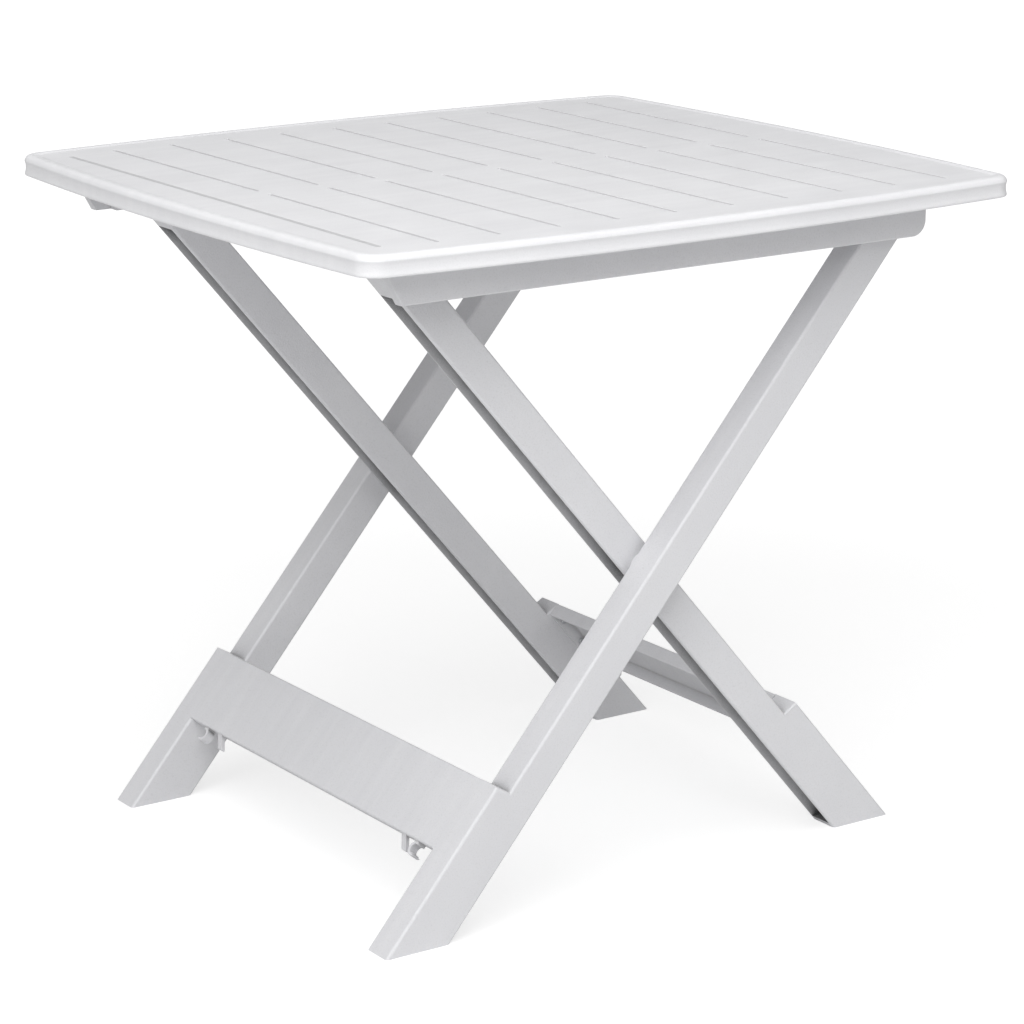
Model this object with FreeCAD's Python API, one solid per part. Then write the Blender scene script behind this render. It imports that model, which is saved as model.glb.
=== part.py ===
import FreeCAD, Part
import os
from math import cos, radians, sin

V = FreeCAD.Vector

# Folding picnic table moulded in plastic. Millimetres, +Z up, origin on the floor
# under the middle of the top. +X runs along the longer side of the top.
# "rear" is the +Y side and "front" the -Y side; both sides are mirror images.

# ---- top -------------------------------------------------------------------
TABLE_LENGTH = 790.0          # along X
TABLE_WIDTH = 720.0           # along Y
TABLE_HEIGHT = 700.0
LONG_SIDE_BOW = 19.0          # how far the long sides bulge outwards in the middle
SHORT_SIDE_BOW = 14.0
CORNER_RADIUS = 25.0
RIM_HEIGHT = 21.0
RIM_WALL = 5.0
RIM_ROUND = 5.5               # rounding of the rim's upper edge
RIM_FOOT_ROUND = 1.2
BEAD_WIDTH = 11.0             # raised border around the field
BEAD_SLOPE = 4.0
FIELD_DEPTH = 1.2             # the field lies this far below the border
PANEL_THICKNESS = 4.8
SLAT_PITCH = 67.0
FIRST_GROOVE_X = -286.0
GROOVE_COUNT = 10
GROOVE_WIDTH = 3.4
GROOVE_DEPTH = 1.5
GROOVE_END_Y = 308.0
CROSS_BAND_HALF = 12.0        # ungrooved band across the middle
BORDER_LINE_X = -342.0        # long groove that marks off the left border
BORDER_LINE_END_Y = 298.0
RIB_THICKNESS = 3.0
RIB_DEPTH = 9.0
RIB_LINES_Y = (-178.0, -90.0, 0.0, 90.0, 178.0)
RIB_LINES_X = (-335.0, -252.5, -118.5, 15.5, 149.5, 283.5, 350.0)

# ---- leg frames ------------------------------------------------------------
LEG_ANGLE = 49.5              # to the floor, table open
PIVOT_X = 3.0
PIVOT_Z = 329.0
TOP_PIN_Z = 660.0             # height of the hinge pins and of the sliding pins
LEG_WIDTH = 38.0              # seen from the side
LEG_THICKNESS = 35.0          # along Y
LEG_STEP = 17.5               # the lower end is this much wider, on its outer side
LEG_EDGE_ROUND = 3.0
LEG_WALL = 3.5
LEG_END_OVERHANG = 2.0        # sliding end: centre of the rounded end beyond the pin
FOOT_FLOOR = 5.0
OUTER_LEG_FACE_Y = 273.5      # outer face of the outer legs
INNER_LEG_FACE_Y = 232.5
OUTER_SHOULDER = (-263.5, 3.0)    # where the wide end begins, and its slope length
INNER_SHOULDER = (-264.3, 3.0)
OUTER_PANEL_SPAN = (-348.2, -266.2)   # lower and upper edge, along the leg from the pivot
INNER_PANEL_SPAN = (-341.5, -266.8)
PANEL_DEPTH = 16.0
PANEL_SKIN = 3.5
PANEL_WALL = 3.0
PANEL_JOINT_GAP = 0.1
LEG_RIB_PITCH = 70.0
LEG_RIB_SET_BACK = 20.0       # the cross ribs stay this far inside the channel's mouth
LEG_RIB = 3.0
HOOK_DEPTH = 10.0             # fold hooks: size across the panel's thickness
HOOK_FINGER = (18.0, 8.0, 5.0)    # length, width along the panel, depth
HOOK_RADIUS = 8.0
HOOK_WIRE = 3.0
HOOK_SPACING = 27.0           # from the finger to the hook's centre
HOOK_INSET = 56.0             # finger from the panel's end
HOOK_MOUTH = 2.0              # the hook's opening starts this far past its centre
HOOK_SET_BACK = 2.0
HOOK_ROUND = 1.2
PANEL_EDGE_ROUND = 2.2
PANEL_SCREW_INSET = 18.0

# ---- rails under the top ---------------------------------------------------
RAIL_INNER_Y = 277.0
RAIL_OUTER_Y = 302.0
RAIL_BOTTOM_Z = 641.5
RAIL_LEFT_X = -336.0
RAIL_RIGHT_X = 300.0
RAIL_WEB = 12.0               # thickness of the outer web, which runs on past the track's end
TRACK_BODY_X = -302.0         # the track's thick part starts here
RAIL_SLANT = (16.5, 29.5)     # slanted lower corner at the open end
RAIL_ROUND = 16.0             # rounded lower corner at the hinge end
RAIL_EDGE_ROUND = 2.0
TRACK_DEPTH = 10.0
TRACK_CLEARANCE = 0.5
SOCKET_DEPTH = 14.0
POCKET_MARGIN = 8.0           # solid stretch round each screw
POCKET_FLOOR_Z = 669.0
RAIL_POCKET_WALL = 4.0
RAIL_SCREW_X = (-300.0, -110.0, 80.0, 250.0)
RAIL_SCREW_Y = 294.5
RAIL_SCREW_SEAT_Z = 682.4     # where the rail screws' heads bear
RAIL_SCREW_TIP_Z = 692.0
BOSS_GAP = 0.2                # round the top's screw bosses and the screw heads

# ---- pins, washers and screws ----------------------------------------------
PIN_RADIUS = 4.0
PIN_CLEARANCE = 0.3
PIN_HEAD_RADIUS = 8.0
PIN_HEAD = 2.6
HEAD_ROUND = 1.2
PIVOT_RADIUS = 5.0
PIVOT_BLIND = 26.0            # depth of the pivot's blind holes in both legs
SEAT_GAP = 0.05               # between a pin and the moulding that holds it
WASHER_RADIUS = 12.0
WASHER_GAP = 0.25
BOSS_RADIUS = 10.5
SCREW_RADIUS = 2.0
SCREW_HEAD_RADIUS = 4.0
SCREW_HEAD = 2.6
SCREW_LENGTH = 12.0
SCREW_BOSS_RADIUS = 5.0

# ---- worked out ------------------------------------------------------------
HALF = LEG_WIDTH / 2.0
ANGLE = radians(LEG_ANGLE)
PIN_REACH = (TOP_PIN_Z - PIVOT_Z) / sin(ANGLE)       # pivot to top pin
FIELD_Z = TABLE_HEIGHT - FIELD_DEPTH
UNDERSIDE_Z = FIELD_Z - PANEL_THICKNESS
HINGE_X = PIVOT_X + PIN_REACH * cos(ANGLE)
SLIDE_X = 2 * PIVOT_X - HINGE_X
WIDE_EDGE = HALF + LEG_STEP
FLOOR_REACH = PIVOT_Z / sin(ANGLE)


# ---- small helpers ---------------------------------------------------------
def box(low, high):
    size = V(*high) - V(*low)
    return Part.makeBox(size.x, size.y, size.z, V(*low))


def rod(radius, x, z, y_from, y_to):
    """A cylinder along Y."""
    return Part.makeCylinder(radius, y_to - y_from, V(x, y_from, z), V(0, 1, 0))


def ring(outer, inner, x, z, y_from, y_to):
    return rod(outer, x, z, y_from, y_to).cut(rod(inner, x, z, y_from - 1, y_to + 1))


def joined(shapes):
    first, rest = shapes[0], shapes[1:]
    return first.multiFuse(rest).removeSplitter() if rest else first


def outline_prism(segments, y_from, y_to):
    """Extrudes a closed outline in the XZ plane; a segment has two points or three for an arc."""
    edges = []
    for seg in segments:
        pts = [V(x, y_from, z) for x, z in seg]
        if len(pts) == 2:
            edges.append(Part.makeLine(*pts))
        else:
            edges.append(Part.Arc(*pts).toShape())
    return Part.Face(Part.Wire(edges)).extrude(V(0, y_to - y_from, 0))


def round_side_edges(solid, radius):
    edges = [e for e in solid.Edges if e.BoundBox.YLength < 1e-6]
    return solid.makeFillet(radius, edges)


def place_on_leg(shape):
    """Takes a shape from leg axes (X along the leg from the pivot, Z to its outer side)."""
    shape = shape.copy()
    shape.rotate(V(0, 0, 0), V(0, 1, 0), -LEG_ANGLE)
    shape.translate(V(PIVOT_X, 0, PIVOT_Z))
    return shape


def swap_ends(shape):
    """Mirrors an outer-frame shape into the inner frame, about the pivot's plane."""
    return shape.mirror(V(PIVOT_X, 0, 0), V(1, 0, 0))


def front(shape):
    return shape.mirror(V(0, 0, 0), V(0, 1, 0))


def save(node, shape):
    solids = shape.Solids
    out = solids[0] if len(solids) == 1 else Part.makeCompound(solids)
    out.exportStep(os.path.join("parts", node + ".step"))


# ---- top -------------------------------------------------------------------
def top_wire(inset, z):
    """The top's plan outline: four shallow arcs that meet at sharp corners."""
    hx, hy = TABLE_LENGTH / 2 - inset, TABLE_WIDTH / 2 - inset
    cx, cy = hx - SHORT_SIDE_BOW, hy - LONG_SIDE_BOW
    corners = [V(-cx, -cy, z), V(cx, -cy, z), V(cx, cy, z), V(-cx, cy, z)]
    middles = [V(0, -hy, z), V(hx, 0, z), V(0, hy, z), V(-hx, 0, z)]
    arcs = [Part.Arc(corners[i], middles[i], corners[(i + 1) % 4]).toShape() for i in range(4)]
    return Part.Wire(arcs)


def top_slab(inset, z_from, z_to):
    slab = Part.Face(top_wire(inset, z_from)).extrude(V(0, 0, z_to - z_from))
    uprights = [e for e in slab.Edges if e.BoundBox.ZLength > 0.9 * (z_to - z_from)]
    return slab.makeFillet(CORNER_RADIUS - inset, uprights)


def flat_edges(solid, z):
    return [e for e in solid.Edges if abs(e.BoundBox.ZMin - z) < 1e-4 and e.BoundBox.ZLength < 1e-4]


def groove(x, y_from, y_to):
    """A straight groove along Y with rounded ends."""
    z = FIELD_Z - GROOVE_DEPTH
    r = GROOVE_WIDTH / 2
    bar = box((x - r, y_from, z), (x + r, y_to, FIELD_Z + 1))
    ends = [Part.makeCylinder(r, GROOVE_DEPTH + 1, V(x, y, z)) for y in (y_from, y_to)]
    return joined([bar] + ends)


def grooves():
    cuts = [groove(BORDER_LINE_X, -BORDER_LINE_END_Y, BORDER_LINE_END_Y)]
    for i in range(GROOVE_COUNT):
        x = FIRST_GROOVE_X + i * SLAT_PITCH
        for side in (-1, 1):
            ends = sorted((side * CROSS_BAND_HALF, side * GROOVE_END_Y))
            cuts.append(groove(x, *ends))
    return cuts


def underside_ribs():
    z = UNDERSIDE_Z - RIB_DEPTH
    t = RIB_THICKNESS / 2
    left, right = RIB_LINES_X[0] - t, RIB_LINES_X[-1] + t
    side = RIB_LINES_Y[-1] + t
    ribs = [box((left, y - t, z), (right, y + t, UNDERSIDE_Z + 1)) for y in RIB_LINES_Y]
    ribs += [box((x - t, -side, z), (x + t, side, UNDERSIDE_Z + 1)) for x in RIB_LINES_X]
    return ribs


def screw_bosses():
    z = UNDERSIDE_Z - RIB_DEPTH
    return [Part.makeCylinder(SCREW_BOSS_RADIUS, RIB_DEPTH + 1, V(x, side * RAIL_SCREW_Y, z))
            for x in RAIL_SCREW_X for side in (-1, 1)]


def screw_hole(x, side):
    foot = V(x, side * RAIL_SCREW_Y, UNDERSIDE_Z - RIB_DEPTH - 1)
    return Part.makeCylinder(SCREW_RADIUS + SEAT_GAP, RIB_DEPTH + 1, foot)


def tabletop():
    rim_z = TABLE_HEIGHT - RIM_HEIGHT
    body = top_slab(0, rim_z, TABLE_HEIGHT)
    body = body.makeFillet(RIM_ROUND, flat_edges(body, TABLE_HEIGHT))
    body = body.makeFillet(RIM_FOOT_ROUND, flat_edges(body, rim_z))
    body = body.cut(top_slab(RIM_WALL, rim_z - 1, UNDERSIDE_Z))
    body = body.cut(field_recess())
    body = joined([body] + underside_ribs() + screw_bosses())
    holes = [screw_hole(x, side) for x in RAIL_SCREW_X for side in (-1, 1)]
    return body.cut(grooves() + holes)


def field_recess():
    """The shallow tray inside the raised border, with the border's sloping inner side."""
    recess = top_slab(BEAD_WIDTH + BEAD_SLOPE, FIELD_Z, TABLE_HEIGHT + 1)
    return recess.makeChamfer(BEAD_SLOPE / 4, flat_edges(recess, FIELD_Z))


# ---- legs ------------------------------------------------------------------
def leg_blank(shoulder, overhang):
    """The leg's outside in leg axes, middle plane at Y = 0."""
    u_low = -FLOOR_REACH - 90
    u_end = PIN_REACH + overhang
    u_step, slope = shoulder
    outline = [
        [(u_low, -HALF), (u_end, -HALF)],
        [(u_end, -HALF), (u_end + HALF, 0), (u_end, HALF)],
        [(u_end, HALF), (u_step, HALF)],
        [(u_step, HALF), (u_step - slope, WIDE_EDGE)],
        [(u_step - slope, WIDE_EDGE), (u_low, WIDE_EDGE)],
        [(u_low, WIDE_EDGE), (u_low, -HALF)],
    ]
    blank = outline_prism(outline, -LEG_THICKNESS / 2, LEG_THICKNESS / 2)
    return round_side_edges(blank, LEG_EDGE_ROUND)


def leg_channel(shoulder):
    """The hollow that opens on the leg's under side, kept clear of the foot and the top end."""
    u_step = shoulder[0] - shoulder[1]
    lift = FOOT_FLOOR / sin(ANGLE)
    foot_at = [(-(PIVOT_Z + w * cos(ANGLE)) / sin(ANGLE) + lift) for w in (-HALF - 1, WIDE_EDGE - LEG_WALL)]
    u_top = PIN_REACH - HALF - LEG_WALL
    low, mid, high = -HALF - 1, HALF - LEG_WALL, WIDE_EDGE - LEG_WALL
    pts = [(foot_at[0], low), (u_top, low), (u_top, mid), (u_step - LEG_WALL, mid),
           (u_step - LEG_WALL, high), (foot_at[1], high)]
    outline = [[pts[i], pts[(i + 1) % len(pts)]] for i in range(len(pts))]
    reach = LEG_THICKNESS / 2 - LEG_WALL
    return outline_prism(outline, -reach, reach)


def leg_inside(panel_span):
    """Cross ribs and the bosses that hold the pins and the panel's screws."""
    reach = LEG_THICKNESS / 2 - LEG_WALL + 0.5
    parts = []
    t = LEG_RIB / 2
    for i in range(1, int(2 * PIN_REACH / LEG_RIB_PITCH)):
        u = -FLOOR_REACH + i * LEG_RIB_PITCH
        parts.append(box((u - t, -reach, -HALF + LEG_RIB_SET_BACK), (u + t, reach, WIDE_EDGE - 1)))
    parts.append(rod(BOSS_RADIUS, 0, 0, -reach, reach))
    for u in panel_screw_places(panel_span):
        parts.append(rod(SCREW_BOSS_RADIUS, u, panel_screw_height(), -reach, reach))
    return parts


def panel_seat(shoulder, panel_span):
    """Keeps the leg's corner square beside the panel, so that their faces meet flush."""
    low, high = panel_span
    high = min(high, shoulder[0] - shoulder[1])
    inner = -LEG_THICKNESS / 2
    return box((low, inner, WIDE_EDGE - LEG_EDGE_ROUND), (high, inner + LEG_EDGE_ROUND, WIDE_EDGE))


def panel_screw_places(panel_span):
    low, high = panel_span
    return (low + PANEL_SCREW_INSET, high - PANEL_SCREW_INSET)


def panel_screw_height():
    return WIDE_EDGE - PANEL_DEPTH / 2 - 1


def leg(shoulder, overhang, panel_span):
    blank = leg_blank(shoulder, overhang)
    shell = blank.cut(leg_channel(shoulder))
    inside = joined(leg_inside(panel_span)).common(blank)
    return joined([shell, inside, panel_seat(shoulder, panel_span)])


def outer_leg():
    """Rear outer leg, in place. Its pivot hole is blind, so its outer face is plain."""
    body = leg(OUTER_SHOULDER, 0, OUTER_PANEL_SPAN)
    inner = -LEG_THICKNESS / 2
    pivot = rod(PIVOT_RADIUS + SEAT_GAP, 0, 0, inner - 1, inner + PIVOT_BLIND)
    return stand(body.cut([pivot] + leg_holes(OUTER_PANEL_SPAN)), OUTER_LEG_FACE_Y)


def inner_leg():
    """Rear inner leg, in place; built like the outer leg and then mirrored end for end."""
    body = leg(INNER_SHOULDER, LEG_END_OVERHANG, INNER_PANEL_SPAN)
    outer = LEG_THICKNESS / 2
    pivot = rod(PIVOT_RADIUS + PIN_CLEARANCE, 0, 0, outer - PIVOT_BLIND, outer + 1)
    return swap_ends(stand(body.cut([pivot] + leg_holes(INNER_PANEL_SPAN)), INNER_LEG_FACE_Y))


def leg_holes(panel_span):
    """The top pin's hole through the leg and the blind holes of the panel's screws."""
    inner = -LEG_THICKNESS / 2
    holes = [rod(PIN_RADIUS + SEAT_GAP, PIN_REACH, 0, inner - 1, -inner + 1)]
    for u in panel_screw_places(panel_span):
        holes.append(rod(SCREW_RADIUS + SEAT_GAP, u, panel_screw_height(), inner - 1, inner + SCREW_LENGTH))
    return holes


def stand(body, face_y):
    """Leans the leg, moves it to its side and cuts its foot flat on the floor."""
    body = place_on_leg(body)
    body.translate(V(0, face_y - LEG_THICKNESS / 2, 0))
    return body.cut(box((-900, 0, -300), (900, 400, 0)))


# ---- cross panels ----------------------------------------------------------
def fold_hook(u_low, y, w_from):
    """A finger that hangs plumb from the panel's lower edge, and a hook beside it."""
    w_to = w_from + HOOK_DEPTH
    length, width, depth = HOOK_FINGER
    drop, drift = length * sin(ANGLE), length * cos(ANGLE)
    corners = [(u_low + 1, w_to), (u_low + 1, w_to - depth),
               (u_low - drop, w_to - depth - drift), (u_low - drop, w_to - drift)]
    sides = [[corners[i], corners[(i + 1) % 4]] for i in range(4)]
    finger = outline_prism(sides, y - width / 2, y + width / 2)
    finger = finger.makeFillet(HOOK_ROUND, [e for e in finger.Edges if e.BoundBox.XMax < u_low - drop + 0.01])
    centre = V(u_low - HOOK_RADIUS, y + HOOK_SPACING, w_from)
    inside = HOOK_RADIUS - HOOK_WIRE
    curl = Part.makeCylinder(HOOK_RADIUS, HOOK_DEPTH, centre)
    curl = curl.cut(Part.makeCylinder(inside, HOOK_DEPTH + 2, centre - V(0, 0, 1)))
    mouth_y = centre.y + HOOK_MOUTH
    mouth = box((centre.x - inside - 1, mouth_y, w_from - 1),
                (centre.x + HOOK_RADIUS + 1, centre.y + HOOK_RADIUS + 1, w_to + 1))
    root = box((u_low - HOOK_WIRE / 2, centre.y - inside, w_from), (u_low + 1, mouth_y, w_to))
    return joined([finger, curl.cut(mouth), root])


def cross_panel(span, half_length):
    """A tray between two legs, in leg axes: skin flush with the legs, open at the back."""
    low, high = span
    end = half_length - PANEL_JOINT_GAP
    back = WIDE_EDGE - PANEL_DEPTH
    tray = box((low, -end, back), (high, end, WIDE_EDGE))
    tray = tray.makeFillet(PANEL_EDGE_ROUND, [e for e in tray.Edges if e.BoundBox.YLength > end
                                              and e.BoundBox.ZMin > WIDE_EDGE - 1])
    hollow = box((low + PANEL_WALL, -end + PANEL_WALL, back - 1),
                 (high - PANEL_WALL, end - PANEL_WALL, WIDE_EDGE - PANEL_SKIN))
    parts = [tray.cut(hollow)]
    hook = fold_hook(low, half_length - HOOK_INSET, back + HOOK_SET_BACK)
    parts += [hook, front(hook)]
    holes = [rod(SCREW_RADIUS + SEAT_GAP, u, panel_screw_height(), -half_length - 1, half_length + 1)
             for u in panel_screw_places(span)]
    return place_on_leg(joined(parts).cut(holes))


def panel_screws(span, half_length):
    """Screws from inside the tray into both legs."""
    screws = []
    head_at = half_length - PANEL_JOINT_GAP - PANEL_WALL
    for u in panel_screw_places(span):
        w = panel_screw_height()
        screw = headed_pin(SCREW_RADIUS, u, w, head_at, head_at + SCREW_LENGTH, SCREW_HEAD_RADIUS)
        screws += [screw, front(screw)]
    return place_on_leg(Part.makeCompound(screws))


# ---- rails -----------------------------------------------------------------
def rail():
    """Rear rail: carries the hinge pin's socket and the open track of the sliding pin."""
    top = UNDERSIDE_Z - SEAT_GAP
    left, right, low = RAIL_LEFT_X, RAIL_RIGHT_X, RAIL_BOTTOM_Z
    dx, dz = RAIL_SLANT
    r = RAIL_ROUND
    mid = r * (1 - cos(radians(45)))
    outline = [
        [(left, top), (right, top)],
        [(right, top), (right, low + r)],
        [(right, low + r), (right - mid, low + mid), (right - r, low)],
        [(right - r, low), (left + dx, low)],
        [(left + dx, low), (left, low + dz)],
        [(left, low + dz), (left, top)],
    ]
    body = outline_prism(outline, RAIL_INNER_Y, RAIL_OUTER_Y)
    outer_low = [e for e in body.Edges if e.BoundBox.YMin > RAIL_OUTER_Y - 1e-4 and e.BoundBox.ZMin < top - 1]
    body = body.makeFillet(RAIL_EDGE_ROUND, outer_low)
    return body.cut([track_end_relief(), track(), hinge_socket()] + rail_pockets() + rail_screw_holes())


def track_end_relief():
    """Beyond the track only the outer web runs on to the rail's open end."""
    return box((RAIL_LEFT_X - 1, RAIL_INNER_Y - 1, RAIL_BOTTOM_Z - 1),
               (TRACK_BODY_X, RAIL_OUTER_Y - RAIL_WEB, UNDERSIDE_Z))


def track():
    """Closed slot for the sliding pin: it stands against the -X end while the table is open."""
    half = PIN_RADIUS + TRACK_CLEARANCE
    slot = box((SLIDE_X, RAIL_INNER_Y - 1, TOP_PIN_Z - half),
               (HINGE_X - 2 * PIN_HEAD_RADIUS - half, RAIL_INNER_Y + TRACK_DEPTH, TOP_PIN_Z + half))
    ends = [rod(half, x, TOP_PIN_Z, RAIL_INNER_Y - 1, RAIL_INNER_Y + TRACK_DEPTH)
            for x in (slot.BoundBox.XMin, slot.BoundBox.XMax)]
    return joined([slot] + ends)


def hinge_socket():
    return rod(PIN_RADIUS + PIN_CLEARANCE, HINGE_X, TOP_PIN_Z, RAIL_INNER_Y - 1, RAIL_INNER_Y + SOCKET_DEPTH)


def rail_pockets():
    """Coring above the track, from the inner face, between the screws."""
    stops = list(RAIL_SCREW_X) + [RAIL_RIGHT_X]
    return [box((a + POCKET_MARGIN, RAIL_INNER_Y - 1, POCKET_FLOOR_Z),
                (b - POCKET_MARGIN, RAIL_OUTER_Y - RAIL_POCKET_WALL, UNDERSIDE_Z - RAIL_POCKET_WALL))
            for a, b in zip(stops[:-1], stops[1:])]


def rail_screw_holes():
    """From below: a recess for the head, the shank's hole, and a seat for the top's screw boss."""
    cuts = []
    boss_z = UNDERSIDE_Z - RIB_DEPTH - BOSS_GAP
    for x in RAIL_SCREW_X:
        foot = V(x, RAIL_SCREW_Y, RAIL_BOTTOM_Z - 1)
        cuts.append(Part.makeCylinder(SCREW_HEAD_RADIUS + BOSS_GAP, RAIL_SCREW_SEAT_Z - foot.z, foot))
        cuts.append(Part.makeCylinder(SCREW_RADIUS + SEAT_GAP, UNDERSIDE_Z - foot.z, foot))
        boss = V(x, RAIL_SCREW_Y, boss_z)
        cuts.append(Part.makeCylinder(SCREW_BOSS_RADIUS + BOSS_GAP, RIB_DEPTH + 1, boss))
    return cuts


def rail_screws():
    screws = []
    for x in RAIL_SCREW_X:
        for side in (-1, 1):
            seat = V(x, side * RAIL_SCREW_Y, RAIL_SCREW_SEAT_Z)
            head = Part.makeCylinder(SCREW_HEAD_RADIUS, SCREW_HEAD, seat - V(0, 0, SCREW_HEAD))
            shank = Part.makeCylinder(SCREW_RADIUS, RAIL_SCREW_TIP_Z - RAIL_SCREW_SEAT_Z, seat)
            screws.append(head.fuse(shank).removeSplitter())
    return Part.makeCompound(screws)


# ---- pins and washers (rear side) --------------------------------------------
def headed_pin(radius, x, z, y_from, y_to, head_radius):
    """A pin or screw along Y with a domed head on its inner end."""
    shank = rod(radius, x, z, y_from, y_to)
    tip = [e for e in shank.Edges if e.BoundBox.YMin > y_to - 1e-4]
    shank = shank.makeChamfer(radius / 5, tip)
    head = rod(head_radius, x, z, y_from - PIN_HEAD, y_from)
    rim = [e for e in head.Edges if e.BoundBox.YMax < y_from - PIN_HEAD + 1e-4]
    return head.makeFillet(HEAD_ROUND, rim).fuse(shank).removeSplitter()


def hinge_pin():
    y = OUTER_LEG_FACE_Y - LEG_THICKNESS
    return headed_pin(PIN_RADIUS, HINGE_X, TOP_PIN_Z, y, RAIL_INNER_Y + SOCKET_DEPTH - 1, PIN_HEAD_RADIUS)


def hinge_washer():
    return ring(WASHER_RADIUS, PIN_RADIUS + SEAT_GAP, HINGE_X, TOP_PIN_Z,
                OUTER_LEG_FACE_Y + WASHER_GAP, RAIL_INNER_Y - WASHER_GAP)


def slide_pin():
    y = INNER_LEG_FACE_Y - LEG_THICKNESS
    return headed_pin(PIN_RADIUS, SLIDE_X, TOP_PIN_Z, y, RAIL_INNER_Y + TRACK_DEPTH - 1, PIN_HEAD_RADIUS)


def pivot_pin():
    """Held in the outer leg; the inner leg turns on it. Both ends are hidden in blind holes."""
    y_in = INNER_LEG_FACE_Y - PIVOT_BLIND + 1
    y_out = OUTER_LEG_FACE_Y - LEG_THICKNESS + PIVOT_BLIND - 1
    shank = rod(PIVOT_RADIUS, PIVOT_X, PIVOT_Z, y_in, y_out)
    return shank.makeChamfer(1.0, [e for e in shank.Edges if e.BoundBox.YLength < 1e-4])


def pivot_washer():
    return ring(WASHER_RADIUS + 3, PIVOT_RADIUS + SEAT_GAP, PIVOT_X, PIVOT_Z,
                INNER_LEG_FACE_Y + WASHER_GAP, OUTER_LEG_FACE_Y - LEG_THICKNESS - WASHER_GAP)


def both_sides(shape):
    return Part.makeCompound([shape, front(shape)])


def build():
    os.makedirs("parts", exist_ok=True)
    save("tabletop", tabletop())
    for node, make in (("rail", rail), ("outer_leg", outer_leg), ("inner_leg", inner_leg),
                       ("hinge_pin", hinge_pin), ("slide_pin", slide_pin), ("pivot_pin", pivot_pin)):
        shape = make()
        save("rear_" + node, shape)
        save("front_" + node, front(shape))
    save("hinge_washers", both_sides(hinge_washer()))
    save("pivot_washers", both_sides(pivot_washer()))
    outer_half = OUTER_LEG_FACE_Y - LEG_THICKNESS
    inner_half = INNER_LEG_FACE_Y - LEG_THICKNESS
    save("outer_cross_panel", cross_panel(OUTER_PANEL_SPAN, outer_half))
    save("outer_panel_screws", panel_screws(OUTER_PANEL_SPAN, outer_half))
    save("inner_cross_panel", swap_ends(cross_panel(INNER_PANEL_SPAN, inner_half)))
    save("inner_panel_screws", swap_ends(panel_screws(INNER_PANEL_SPAN, inner_half)))
    save("rail_screws", rail_screws())


build()
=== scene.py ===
from math import atan2, cos, hypot, pi, radians, sin, sqrt

import bmesh
import bpy
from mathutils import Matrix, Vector
from mathutils.geometry import tessellate_polygon


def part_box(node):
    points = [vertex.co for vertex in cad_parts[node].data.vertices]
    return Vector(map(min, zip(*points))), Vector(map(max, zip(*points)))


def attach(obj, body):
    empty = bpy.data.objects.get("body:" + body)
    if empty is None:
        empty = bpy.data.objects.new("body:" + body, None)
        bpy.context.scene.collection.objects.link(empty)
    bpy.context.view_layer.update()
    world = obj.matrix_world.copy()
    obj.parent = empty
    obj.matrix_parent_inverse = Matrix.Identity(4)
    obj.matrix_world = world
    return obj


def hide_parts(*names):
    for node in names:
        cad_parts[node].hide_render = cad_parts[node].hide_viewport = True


# Folding picnic table in white moulded plastic. Metres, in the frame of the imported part:
# floor at z = 0, +X along the top's longer side, the camera stands on the -X -Y side.

MM = 0.001

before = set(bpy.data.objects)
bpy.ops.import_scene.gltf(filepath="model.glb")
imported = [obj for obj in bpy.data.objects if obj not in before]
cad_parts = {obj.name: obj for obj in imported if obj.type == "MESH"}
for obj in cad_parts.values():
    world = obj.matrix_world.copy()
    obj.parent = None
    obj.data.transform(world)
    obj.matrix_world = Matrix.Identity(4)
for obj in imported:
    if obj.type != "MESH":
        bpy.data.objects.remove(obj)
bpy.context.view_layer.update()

# ---- tabletop: what the part's box doesn't give ------------------------------------
HALF_LENGTH, HALF_WIDTH, TOP_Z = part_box("tabletop")[1]
LONG_SIDE_BOW = 19 * MM
SHORT_SIDE_BOW = 14 * MM
CORNER_RADIUS = 25 * MM
FIELD_Z = TOP_Z - 1.2 * MM        # the slatted field lies a little below the border
UNDERSIDE_Z = FIELD_Z - 4.8 * MM

SLAT_PITCH = 67 * MM
FIRST_GROOVE_X = -286 * MM
GROOVE_COUNT = 10
GROOVE_HALF = 1.7 * MM
GROOVE_END_Y = 308 * MM
CROSS_BAND_HALF = 12 * MM         # the plain band between the two rows of grooves
BORDER_LINE_X = -342 * MM
BORDER_LINE_END_Y = 298 * MM
# Painted shade in the field's grooves: their sunk part is darkened, found by its place in the top.
GROOVE_SHADE_HALF_X = 348 * MM           # the part of the field that holds all grooves
GROOVE_SHADE_HALF_Y = 314 * MM
GROOVE_SHADE_START = 0.03 * MM           # depths under the field
GROOVE_SHADE_FULL = 0.35 * MM
GROOVE_SHADE_LOWEST_Z = UNDERSIDE_Z + 1 * MM

RIB_HALF = 1.5 * MM
RIB_LINES_X = [x * MM for x in (-335, -252.5, -118.5, 15.5, 149.5, 283.5, 350)]
RIB_LINES_Y = [y * MM for y in (-178, -90, 0, 90, 178)]
CELL_ROUND = 6 * MM
LEAST_ROUND = 0.3 * MM
BOSS_RADIUS = 5 * MM
BOSS_HOLE = 2 * MM
BOSS_HOLE_END = 1 * MM            # below the underside
RAIL_SCREW_X = [x * MM for x in (-300, -110, 80, 250)]
RAIL_SCREW_Y = 294.5 * MM

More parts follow.
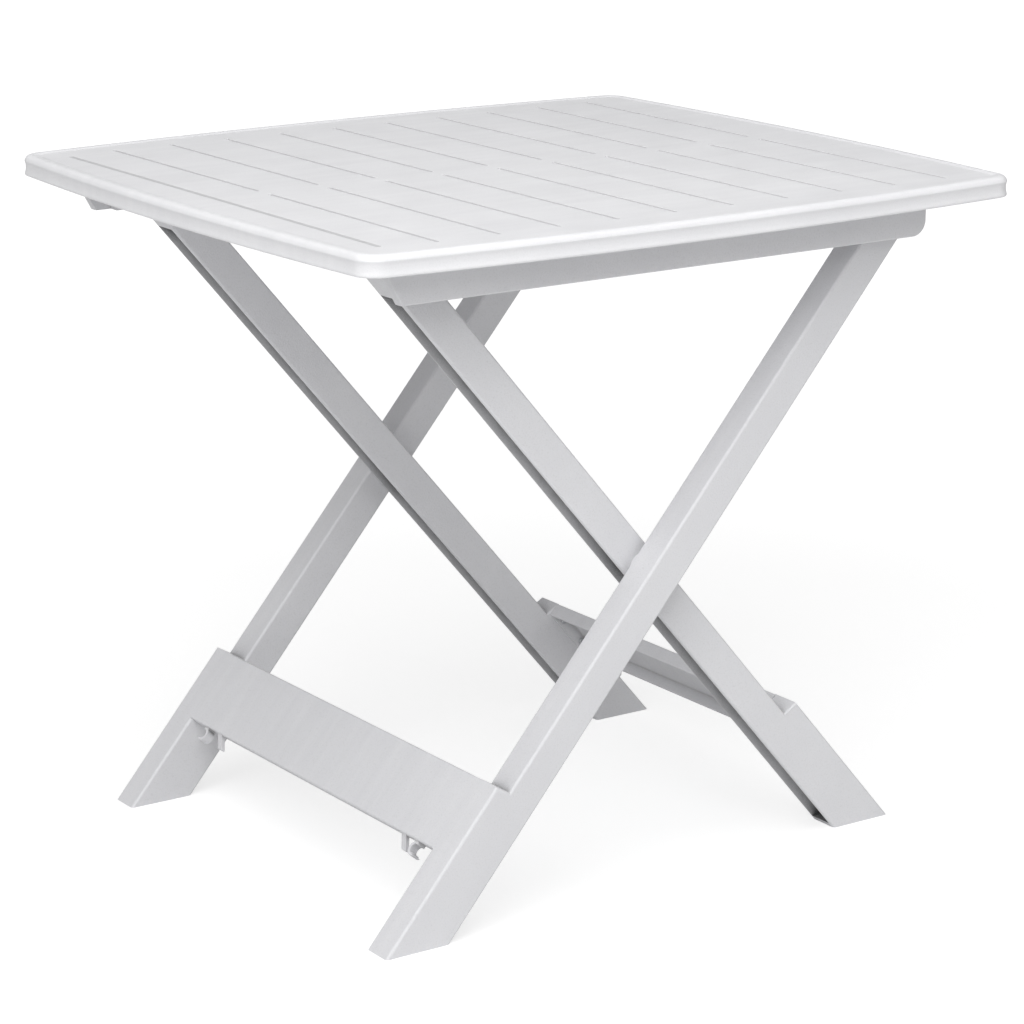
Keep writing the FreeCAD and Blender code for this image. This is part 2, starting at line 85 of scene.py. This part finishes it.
# Sections, in millimetres. These three run from the field over the rim to the underside, as
# (distance in from the outline, depth under the top).
BORDER_SECTION = ((16.0, 1.2), (14.8, 1.12), (13.4, 0.78), (12.0, 0.3), (11.0, 0.06), (10.0, 0.0))
RIM_SECTION = (
    (7.2, 0.0), (5.6, 0.12), (4.0, 0.55), (2.6, 1.35), (1.5, 2.45), (0.75, 3.75), (0.3, 4.8),
    (0.06, 5.5), (0.0, 6.0), (0.12, 6.6), (0.45, 7.5), (0.85, 8.9), (1.05, 11.0), (1.0, 13.5),
    (0.7, 15.9), (0.3, 17.4), (0.05, 18.4), (0.0, 19.2), (0.12, 20.1), (0.5, 20.7), (1.2, 21.0))
WALL_SECTION = (
    (3.9, 21.0), (4.6, 20.75), (5.0, 20.1), (5.0, 8.4), (5.35, 7.1), (6.1, 6.3), (7.4, 6.0))
# (distance out from a groove's side, depth under the field)
GROOVE_SECTION = (
    (1.4, 0.0), (0.8, 0.06), (0.3, 0.24), (-0.1, 0.7), (-0.4, 1.15), (-0.8, 1.42), (-1.4, 1.5))
BORDER_LINE_SECTION = ((2.0, 0.0), (1.4, 0.08), (0.5, 0.4), (-0.4, 0.8), (-1.2, 0.95), (-1.5, 1.0))
# (distance out from a rib's side, depth under the underside)
RIB_SECTION = ((1.6, 0.0), (0.7, 0.25), (0.2, 0.9), (-0.25, 8.2), (-0.5, 8.8), (-0.9, 9.0))
RIB_DEPTH = RIB_SECTION[-1][1] * MM

# Points along the round stretches.
LONG_SIDE_STEPS = 22
SHORT_SIDE_STEPS = 18
CORNER_STEPS = 10
GROOVE_END_STEPS = 8
CELL_CORNER_STEPS = 5
CIRCLE_STEPS = 24

# ---- frame pieces -------------------------------------------------------------------------
EDGE_ROUND = 0.35 * MM
SAME_POINT = 0.01 * MM
SHARP_ANGLE = radians(35)
FLAT_WEIGHT = 80                  # how far the large faces rule the shading

# ---- colours, linear ----------------------------------------------------------------------
TOP_WHITE = (0.80, 0.80, 0.815, 1.0)
FRAME_WHITE = (0.725, 0.725, 0.743, 1.0)
PIN_WHITE = (0.72, 0.72, 0.73, 1.0)
RUBBED_WHITE = (0.96, 0.96, 0.96, 1.0)
SPECKLE_GREY = (0.50, 0.50, 0.50, 1.0)
DUST = (0.55, 0.54, 0.52, 1.0)
# grey of the painted shade in the field's grooves
GROOVE_SHADE_GREY = (0.50, 0.50, 0.51, 1.0)
STEEL_DARK = (0.50, 0.51, 0.53, 1.0)
STEEL_BRIGHT = (0.68, 0.69, 0.70, 1.0)
FLOOR_DARK = (0.42, 0.42, 0.42, 1.0)
FLOOR_PALE = (0.44, 0.44, 0.44, 1.0)
FLOOR_BOUNCE = (0.84, 0.84, 0.84, 1.0)
PURE_WHITE = (1.0, 1.0, 1.0, 1.0)

# Painted shade in a piece's own hollows: (reach, the openness that is fully dark, the openness
# that is fully clear, colour of the painted shade).
SMALL_SHADE = (0.16, 0.16, 0.165, 1.0)
TOP_SHADE = (5 * MM, 0.25, 0.72, SMALL_SHADE)
PIN_SHADE = (5 * MM, 0.30, 0.72, SMALL_SHADE)
PANEL_SHADE = (25 * MM, 0.20, 0.60, (0.25, 0.25, 0.255, 1.0))
# The legs' open channels are painted almost black, as shade.
LEG_SHADE = (34 * MM, 0.48, 0.74, (0.025, 0.025, 0.026, 1.0))

# ---- camera and light ---------------------------------------------------------------------
CAMERA_TARGET = Vector((0.0014, -0.0060, 0.3345))
CAMERA_DISTANCE = 3.6036
CAMERA_AZIMUTH = 34.2445          # degrees, from +Y towards +X
CAMERA_ELEVATION = 15.1828
CAMERA_LENS = 121.42              # millimetres
SENSOR_WIDTH = 36.0
SKY = 0.32                        # even light from all round; the camera itself sees it white
LIGHT_AIM = (0.0, 0.0, 0.4)
# (name, place, width, height, watts)
LIGHTS = (
    ("overhead", (-0.5, -1.0, 3.0), 2.6, 2.6, 47.0),
    ("camera_side", (-4.8, -4.3, 5.0), 9.0, 4.0, 358.0),
    ("right_fill", (2.5, -6.5, 2.5), 3.0, 3.0, 22.0))
FLOOR_HALF = 40.0
NEAR_FLOOR = 1.0                  # from the middle; between these two the floor's glow grows
FAR_FLOOR = 4.5
NEAR_GLOW = 0.70


# ---- shader helpers -----------------------------------------------------------------------
class Shader:
    """A material's node tree, with short calls to add and join nodes."""

    def __init__(self, name):
        self.material = bpy.data.materials.new(name)
        self.material.use_nodes = True
        self.tree = self.material.node_tree
        self.tree.nodes.clear()
        self.output = self.add("ShaderNodeOutputMaterial")
        coords = self.add("ShaderNodeTexCoord")
        self.coords = coords.outputs["Object"]

    def add(self, kind, settings=None, **inputs):
        node = self.tree.nodes.new(kind)
        for key, value in (settings or {}).items():
            setattr(node, key, value)
        for key, value in inputs.items():
            self.put(node.inputs[key.replace("_", " ")], value)
        return node

    def put(self, socket, value):
        if isinstance(value, bpy.types.NodeSocket):
            self.tree.links.new(value, socket)
        else:
            socket.default_value = value

    def noise(self, scale, detail=2.0, roughness=0.5, coords=None):
        """Soft noise; scale counts its patches in a metre."""
        node = self.add("ShaderNodeTexNoise", Vector=coords or self.coords, Scale=scale,
                        Detail=detail, Roughness=roughness)
        return node.outputs["Fac"]

    def cells(self, scale):
        node = self.add("ShaderNodeTexVoronoi", {"feature": "SMOOTH_F1"},
                        Vector=self.coords, Scale=scale, Smoothness=0.6)
        return node.outputs["Distance"]

    def stretched(self, scale):
        node = self.add("ShaderNodeMapping", Vector=self.coords, Scale=scale)
        return node.outputs["Vector"]

    def remap(self, value, from_low, from_high, to_low=0.0, to_high=1.0):
        node = self.add("ShaderNodeMapRange", Value=value, From_Min=from_low, From_Max=from_high,
                        To_Min=to_low, To_Max=to_high)
        return node.outputs["Result"]

    def math(self, operation, a, b):
        node = self.add("ShaderNodeMath", {"operation": operation})
        self.put(node.inputs[0], a)
        self.put(node.inputs[1], b)
        return node.outputs["Value"]

    def times(self, a, b):
        return self.math("MULTIPLY", a, b)

    def mix(self, factor, a, b):
        node = self.add("ShaderNodeMix", {"data_type": "RGBA"})
        self.put(node.inputs[0], factor)
        self.put(node.inputs[6], a)
        self.put(node.inputs[7], b)
        return node.outputs[2]

    def blend(self, factor, a, b):
        """The shader node that mixes shader nodes a and b."""
        node = self.add("ShaderNodeMixShader", Fac=factor)
        self.put(node.inputs[1], a.outputs[0])
        self.put(node.inputs[2], b.outputs[0])
        return node

    def bump(self, height, distance, strength=1.0, normal=None):
        node = self.add("ShaderNodeBump", Height=height, Distance=distance, Strength=strength)
        if normal is not None:
            self.put(node.inputs["Normal"], normal)
        return node.outputs["Normal"]

    def worn_edges(self, radius):
        """1 on edges that handling has rubbed, 0 on flat surfaces."""
        rounded = self.add("ShaderNodeBevel", {"samples": 4}, Radius=radius).outputs["Normal"]
        flat = self.add("ShaderNodeNewGeometry").outputs["Normal"]
        dot = self.add("ShaderNodeVectorMath", {"operation": "DOT_PRODUCT"})
        self.put(dot.inputs[0], rounded)
        self.put(dot.inputs[1], flat)
        return self.remap(dot.outputs["Value"], 0.999, 0.93)

    def hollows(self, reach, dark, clear):
        """1 deep in the piece's own corners and grooves, 0 on open surfaces."""
        node = self.add("ShaderNodeAmbientOcclusion", {"samples": 6, "only_local": True},
                        Distance=reach)
        return self.remap(node.outputs["AO"], dark, clear, 1.0, 0.0)

    def between(self, value, low, high):
        """1 where value lies between low and high, else 0."""
        above = self.math("GREATER_THAN", value, low)
        below = self.math("LESS_THAN", value, high)
        return self.times(above, below)

    def surface(self, **inputs):
        principled = self.add("ShaderNodeBsdfPrincipled", **inputs)
        self.put(self.output.inputs["Surface"], principled.outputs["BSDF"])


# ---- moulded plastic ----------------------------------------------------------------------
def clouded(s, colour):
    """The colour with the faint clouds and flow lines of moulding."""
    clouds = s.noise(5.0, detail=3.0)
    flow = s.noise(9.0, detail=3.0, coords=s.stretched((1.0, 9.0, 1.0)))
    tone = s.remap(s.math("ADD", clouds, flow), 0.7, 1.3)
    darker = (colour[0] * 0.94, colour[1] * 0.94, colour[2] * 0.945, 1.0)
    return s.mix(tone, darker, colour)


def speckled(s, base, size, amount):
    speckle = s.noise(1.0 / size, roughness=0.7)
    return s.mix(s.remap(speckle, 0.52, 0.75, 0.0, amount), base, SPECKLE_GREY)


def dusty(s, base):
    """Patchy dust in corners and along small steps."""
    patches = s.remap(s.noise(60.0, detail=4.0), 0.3, 0.7, 0.2, 0.5)
    corners = s.hollows(reach=4 * MM, dark=0.35, clear=0.95)
    return s.mix(s.times(corners, patches), base, DUST)


def shaded(s, base, shade):
    """Painted shade: the base colour darkened in a piece's own hollows."""
    reach, dark, clear, shade_colour = shade
    return s.mix(s.times(s.hollows(reach, dark, clear), 0.9), base, shade_colour)


def painted_groove_shade(s):
    """Mask of the painted shade in the field's grooves: 1 inside them, by their place in the top; 0
    elsewhere.
    """
    place = s.add("ShaderNodeSeparateXYZ", Vector=s.coords).outputs
    in_field = s.times(s.between(place["X"], -GROOVE_SHADE_HALF_X, GROOVE_SHADE_HALF_X),
                      s.between(place["Y"], -GROOVE_SHADE_HALF_Y, GROOVE_SHADE_HALF_Y))
    sunk = s.remap(place["Z"], FIELD_Z - GROOVE_SHADE_FULL, FIELD_Z - GROOVE_SHADE_START, 1.0, 0.0)
    upper = s.math("GREATER_THAN", place["Z"], GROOVE_SHADE_LOWEST_Z)
    return s.times(s.times(sunk, upper), in_field)


def pebbled_skin(s, depth, size):
    """A pebbled skin on a surface that sags a little, as thick mouldings do."""
    pebbles = s.math("ADD", s.cells(1.0 / size), s.noise(2.2 / size, roughness=0.6))
    sag = s.bump(s.noise(7.0, detail=1.0), 0.5 * MM, strength=0.6)
    return s.bump(pebbles, depth, normal=sag)


def moulded_plastic(name, colour, roughness, grain, grain_size, speckling, shade, rubbing,
                    shades_grooves=False):
    """Opaque polypropylene: pebbled skin, faint flow lines, paler rubbed edges, dust and painted
    shade in hollows, painted shade in grooves.
    """
    s = Shader(name)
    base = speckled(s, clouded(s, colour), grain_size, speckling)
    # dust in the hollows, then painted shade in them
    base = shaded(s, dusty(s, base), shade)
    # painted shade in the field's grooves
    if shades_grooves:
        base = s.mix(painted_groove_shade(s), base, GROOVE_SHADE_GREY)
    rubbed = s.times(s.worn_edges(1.2 * MM), s.remap(s.noise(35.0, detail=4.0), 0.4, 0.65))
    base = s.mix(s.times(rubbed, rubbing), base, RUBBED_WHITE)
    uneven = s.remap(s.noise(22.0, detail=4.0), 0.3, 0.7, roughness - 0.05, roughness + 0.07)
    polished = s.times(rubbed, -0.08)
    rough = s.math("ADD", uneven, polished)
    s.surface(Base_Color=base, Roughness=rough, IOR=1.49, Normal=pebbled_skin(s, grain, grain_size))
    return s.material


# ---- the other materials ------------------------------------------------------------------
def plated_steel(name):
    """Zinc-plated screw steel with fine turning marks."""
    s = Shader(name)
    spots = s.noise(900.0, detail=4.0)
    base = s.mix(s.remap(spots, 0.35, 0.7), STEEL_DARK, STEEL_BRIGHT)
    turning = s.noise(2500.0, coords=s.stretched((1.0, 1.0, 6.0)))
    marks = s.bump(turning, 0.05 * MM, strength=0.5)
    s.surface(Base_Color=base, Metallic=1.0, Normal=marks,
              Roughness=s.remap(spots, 0.3, 0.7, 0.26, 0.42))
    return s.material


def floor_paint():
    """Pale studio floor: near white to the camera, greyer to the light it throws back up.

    It can't be seen from below, so the table's underside can be looked at.
    """
    s = Shader("pale_floor")
    patches = s.noise(1.5, detail=3.0)
    seen = s.add("ShaderNodeBsdfDiffuse", Color=s.mix(patches, FLOOR_DARK, FLOOR_PALE))
    far = s.add("ShaderNodeVectorMath", {"operation": "LENGTH"}, Vector=s.coords).outputs["Value"]
    glow = s.add("ShaderNodeEmission", Color=PURE_WHITE,
                 Strength=s.remap(far, NEAR_FLOOR, FAR_FLOOR, NEAR_GLOW, 1.0))
    bright = s.add("ShaderNodeAddShader")
    s.put(bright.inputs[0], seen.outputs[0])
    s.put(bright.inputs[1], glow.outputs[0])
    dim = s.add("ShaderNodeBsdfDiffuse", Color=FLOOR_BOUNCE)
    to_camera = s.add("ShaderNodeLightPath").outputs["Is Camera Ray"]
    matt = s.blend(to_camera, dim, bright)
    from_below = s.add("ShaderNodeNewGeometry").outputs["Backfacing"]
    clear = s.add("ShaderNodeBsdfTransparent")
    s.put(s.output.inputs["Surface"], s.blend(from_below, matt, clear).outputs[0])
    return s.material


def dress(piece, material, slot):
    piece.data.materials.clear()
    piece.data.materials.append(material)


# ---- tabletop mesh ------------------------------------------------------------------------
class Shell:
    """A closed mesh built up from rings of points."""

    def __init__(self):
        self.points = []
        self.faces = []

    def ring(self, points):
        first = len(self.points)
        self.points += points
        return range(first, len(self.points))

    def sweep(self, rings):
        """Joins each ring to the next with quads. Returns the first and the last ring."""
        rings = [self.ring(points) for points in rings]
        for a, b in zip(rings, rings[1:]):
            for i in range(len(a)):
                j = (i + 1) % len(a)
                self.faces.append((a[i], a[j], b[j], b[i]))
        return rings[0], rings[-1]

    def cap(self, ring):
        self.faces.append(tuple(ring))

    def plate(self, outer, holes):
        """Fills the flat region between an outer ring and the holes in it."""
        rings = [outer, *holes]
        loops = [[Vector(self.points[i]) for i in ring] for ring in rings]
        index = [i for ring in rings for i in ring]
        for triangle in tessellate_polygon(loops):
            self.faces.append(tuple(index[i] for i in triangle))

    def make(self, name):
        mesh = bpy.data.meshes.new(name)
        mesh.from_pydata(self.points, [], self.faces)
        work = bmesh.new()
        work.from_mesh(mesh)
        bmesh.ops.recalc_face_normals(work, faces=work.faces)
        for face in work.faces:
            face.smooth = True
        work.to_mesh(mesh)
        work.free()
        piece = bpy.data.objects.new(name, mesh)
        bpy.context.scene.collection.objects.link(piece)
        return piece


def arc(x, y, radius, start, stop, steps):
    turns = [start + (stop - start) * i / steps for i in range(steps + 1)]
    return [(x + radius * cos(t), y + radius * sin(t)) for t in turns]


def at_height(points, z):
    return [(x, y, z) for x, y in points]


def plan(inset):
    """The top's outline moved in by inset: four shallow arcs joined by round corners.

    The front arc's centre is on the Y axis and the +X arc's centre on the X axis. The corner's
    centre is where circles about these two, smaller by the corner's radius, cross.
    """
    chord_x, chord_y = HALF_LENGTH - SHORT_SIDE_BOW, HALF_WIDTH - LONG_SIDE_BOW
    long_r = (chord_x ** 2 + LONG_SIDE_BOW ** 2) / (2 * LONG_SIDE_BOW)
    short_r = (chord_y ** 2 + SHORT_SIDE_BOW ** 2) / (2 * SHORT_SIDE_BOW)
    long_y, short_x = long_r - HALF_WIDTH, HALF_LENGTH - short_r
    reach = hypot(short_x, long_y)
    to_long, to_short = long_r - CORNER_RADIUS, short_r - CORNER_RADIUS
    along = (to_long ** 2 - to_short ** 2 + reach ** 2) / (2 * reach)
    across = sqrt(to_long ** 2 - along ** 2)
    ux, uy = short_x / reach, -long_y / reach
    corner_x, corner_y = along * ux - across * uy, long_y + along * uy + across * ux
    turn_long = atan2(corner_y - long_y, corner_x)
    turn_short = atan2(corner_y, corner_x - short_x)
    quarter = arc(0, long_y, long_r - inset, -pi / 2, turn_long, LONG_SIDE_STEPS)
    corner = arc(corner_x, corner_y, CORNER_RADIUS - inset, turn_long, turn_short, CORNER_STEPS)
    quarter += corner[1:]
    quarter += arc(short_x, 0, short_r - inset, turn_short, 0, SHORT_SIDE_STEPS)[1:]
    right = quarter + [(x, -y) for x, y in reversed(quarter[:-1])]
    return right + [(-x, y) for x, y in reversed(right[1:-1])]


def long_hole(x, y_low, y_high, half):
    far_end = arc(x, y_high, half, 0, pi, GROOVE_END_STEPS)
    return far_end + arc(x, y_low, half, pi, 2 * pi, GROOVE_END_STEPS)


def rounded_box(low_x, low_y, high_x, high_y, grow):
    """A box grown by grow on every side, with rounded corners."""
    r = max(CELL_ROUND + grow, LEAST_ROUND)
    left, right = low_x - grow + r, high_x + grow - r
    low, high = low_y - grow + r, high_y + grow - r
    corners = ((right, high), (left, high), (left, low), (right, low))
    ring = []
    for i, (x, y) in enumerate(corners):
        ring += arc(x, y, r, i * pi / 2, (i + 1) * pi / 2, CELL_CORNER_STEPS)
    return ring


def circle(x, y, radius):
    return arc(x, y, radius, 0, 2 * pi * (CIRCLE_STEPS - 1) / CIRCLE_STEPS, CIRCLE_STEPS - 1)


def groove_places():
    """(x, low y, high y, section) of every groove in the field."""
    places = [(BORDER_LINE_X, -BORDER_LINE_END_Y, BORDER_LINE_END_Y, BORDER_LINE_SECTION)]
    for i in range(GROOVE_COUNT):
        x = FIRST_GROOVE_X + i * SLAT_PITCH
        places.append((x, CROSS_BAND_HALF, GROOVE_END_Y, GROOVE_SECTION))
        places.append((x, -GROOVE_END_Y, -CROSS_BAND_HALF, GROOVE_SECTION))
    return places


def add_grooves(shell):
    """The grooves of the field. Returns their lips."""
    lips = []
    for x, low, high, section in groove_places():
        lip, bed = shell.sweep([
            at_height(long_hole(x, low, high, GROOVE_HALF + out * MM), FIELD_Z - down * MM)
            for out, down in section])
        shell.cap(bed)
        lips.append(lip)
    return lips


def rib_walls(low_x, low_y, high_x, high_y, side):
    """Rings down a box's ribs; side is 1 if the ribs stand inside the box, -1 if round it."""
    return [at_height(rounded_box(low_x, low_y, high_x, high_y, side * out * MM),
                      UNDERSIDE_Z - down * MM)
            for out, down in RIB_SECTION]


def add_cells(shell):
    """The pockets between the ribs. Returns their mouths, level with the ribs' tips."""
    mouths = []
    for x0, x1 in zip(RIB_LINES_X, RIB_LINES_X[1:]):
        for y0, y1 in zip(RIB_LINES_Y, RIB_LINES_Y[1:]):
            floor, mouth = shell.sweep(rib_walls(x0 + RIB_HALF, y0 + RIB_HALF,
                                                 x1 - RIB_HALF, y1 - RIB_HALF, -1))
            shell.cap(floor)
            mouths.append(mouth)
    return mouths


def add_rib_grid(shell):
    """The rib grid under the field. Returns its foot on the underside."""
    foot, tip = shell.sweep(rib_walls(RIB_LINES_X[0] - RIB_HALF, RIB_LINES_Y[0] - RIB_HALF,
                                      RIB_LINES_X[-1] + RIB_HALF, RIB_LINES_Y[-1] + RIB_HALF, 1))
    shell.plate(tip, add_cells(shell))
    return foot


def add_screw_bosses(shell):
    """The bosses for the rails' screws, each with a blind hole. Returns their feet."""
    feet = []
    for x in RAIL_SCREW_X:
        for y in (-RAIL_SCREW_Y, RAIL_SCREW_Y):
            outside = [at_height(circle(x, y, BOSS_RADIUS + out * MM), UNDERSIDE_Z - down * MM)
                       for out, down in RIB_SECTION]
            hole = [at_height(circle(x, y, BOSS_HOLE), UNDERSIDE_Z - down)
                    for down in (RIB_DEPTH, BOSS_HOLE_END)]
            foot, bed = shell.sweep(outside + hole)
            shell.cap(bed)
            feet.append(foot)
    return feet


def make_tabletop():
    shell = Shell()
    section = BORDER_SECTION + RIM_SECTION + WALL_SECTION
    field, underside = shell.sweep([
        at_height(plan(inset * MM), TOP_Z - down * MM) for inset, down in section])
    shell.plate(field, add_grooves(shell))
    shell.plate(underside, [add_rib_grid(shell)] + add_screw_bosses(shell))
    top = shell.make("moulded_top")
    soften(top)
    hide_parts("tabletop")
    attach(top, "tabletop")
    return top


def soften(piece):
    """Shades the large flat faces flat and lets only the rounded edges turn the light."""
    piece.modifiers.new("flats", "WEIGHTED_NORMAL").weight = FLAT_WEIGHT


def round_edges(piece):
    """Joins the frame piece's split corners and rounds its sharp edges."""
    weld = piece.modifiers.new("joined", "WELD")
    weld.merge_threshold = SAME_POINT
    bevel = piece.modifiers.new("rounded", "BEVEL")
    bevel.width = EDGE_ROUND
    bevel.segments = 2
    bevel.limit_method = "ANGLE"
    bevel.angle_limit = SHARP_ANGLE
    bevel.use_clamp_overlap = True
    soften(piece)


# ---- stage --------------------------------------------------------------------------------
def make_floor():
    half = FLOOR_HALF
    mesh = bpy.data.meshes.new("floor")
    corners = [(-half, -half, 0), (half, -half, 0), (half, half, 0), (-half, half, 0)]
    mesh.from_pydata(corners, [], [(0, 1, 2, 3)])
    floor = bpy.data.objects.new("floor", mesh)
    bpy.context.scene.collection.objects.link(floor)
    mesh.materials.append(floor_paint())
    keep_under_feet(floor)


def keep_under_feet(floor):
    """The open table stands at z = 0. As the frames close the feet reach lower, and the floor too."""
    foot = bpy.data.objects.new("foot_corner", None)
    foot.location = (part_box("front_outer_leg")[0].x, 0.0, 0.0)
    bpy.context.scene.collection.objects.link(foot)
    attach(foot, "outer_frame")
    stand = floor.constraints.new("COPY_LOCATION")
    stand.target = foot
    stand.use_x = False
    stand.use_y = False


def make_softbox(name, place, width, height, watts):
    data = bpy.data.lights.new(name, "AREA")
    data.shape = "RECTANGLE"
    data.size = width
    data.size_y = height
    data.energy = watts
    lamp = bpy.data.objects.new(name, data)
    lamp.location = place
    lamp.rotation_euler = (Vector(LIGHT_AIM) - Vector(place)).to_track_quat("-Z", "Y").to_euler()
    bpy.context.scene.collection.objects.link(lamp)
    lamp.visible_camera = False


def make_sky():
    world = bpy.data.worlds.new("studio")
    world.use_nodes = True
    tree = world.node_tree
    background = tree.nodes["Background"]
    background.inputs["Color"].default_value = PURE_WHITE
    strength = tree.nodes.new("ShaderNodeMapRange")
    strength.inputs["To Min"].default_value = SKY
    strength.inputs["To Max"].default_value = 1.0
    rays = tree.nodes.new("ShaderNodeLightPath")
    tree.links.new(rays.outputs["Is Camera Ray"], strength.inputs["Value"])
    tree.links.new(strength.outputs["Result"], background.inputs["Strength"])
    bpy.context.scene.world = world


def make_camera():
    azimuth = radians(CAMERA_AZIMUTH)
    elevation = radians(CAMERA_ELEVATION)
    level = Vector((sin(azimuth), cos(azimuth), 0.0)) * cos(elevation)
    forward = level - Vector((0.0, 0.0, sin(elevation)))
    data = bpy.data.cameras.new("camera")
    data.lens = CAMERA_LENS
    data.sensor_width = SENSOR_WIDTH
    camera = bpy.data.objects.new("camera", data)
    camera.location = CAMERA_TARGET - forward * CAMERA_DISTANCE
    camera.rotation_euler = forward.to_track_quat("-Z", "Y").to_euler()
    bpy.context.scene.collection.objects.link(camera)
    bpy.context.scene.camera = camera


# ---- the scene ----------------------------------------------------------------------------
TOP_PLASTIC = moulded_plastic(
    "top_white", TOP_WHITE, roughness=0.42, grain=0.05 * MM, grain_size=1.4 * MM,
    speckling=0.16, shade=TOP_SHADE, rubbing=0.10, shades_grooves=True)
PANEL_PLASTIC = moulded_plastic(
    "frame_white", FRAME_WHITE, roughness=0.46, grain=0.10 * MM, grain_size=1.8 * MM,
    speckling=0.30, shade=PANEL_SHADE, rubbing=0.20)
# The frame plastic again, with stronger and darker painted shade in the legs' channels.
LEG_PLASTIC = moulded_plastic(
    "leg_white", FRAME_WHITE, roughness=0.46, grain=0.10 * MM, grain_size=1.8 * MM,
    speckling=0.30, shade=LEG_SHADE, rubbing=0.20)
PIN_PLASTIC = moulded_plastic(
    "pin_white", PIN_WHITE, roughness=0.35, grain=0.02 * MM, grain_size=0.9 * MM,
    speckling=0.12, shade=PIN_SHADE, rubbing=0.5)
SCREW_STEEL = plated_steel("screw_steel")


def finish_of(node):
    """The material and the record's slot of a node."""
    if "screws" in node:
        return SCREW_STEEL, "screw_steel"
    if "pin" in node or "washer" in node:
        return PIN_PLASTIC, "pin_plastic"
    if node == "tabletop":
        return TOP_PLASTIC, "top_plastic"
    if node.endswith("_leg"):
        return LEG_PLASTIC, "frame_plastic"
    return PANEL_PLASTIC, "frame_plastic"


for node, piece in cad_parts.items():
    material, slot = finish_of(node)
    dress(piece, material, slot)
    if slot == "frame_plastic":
        round_edges(piece)

dress(make_tabletop(), *finish_of("tabletop"))

make_floor()
make_sky()
for light in LIGHTS:
    make_softbox(*light)
make_camera()
bpy.context.scene.view_settings.view_transform = "Standard"
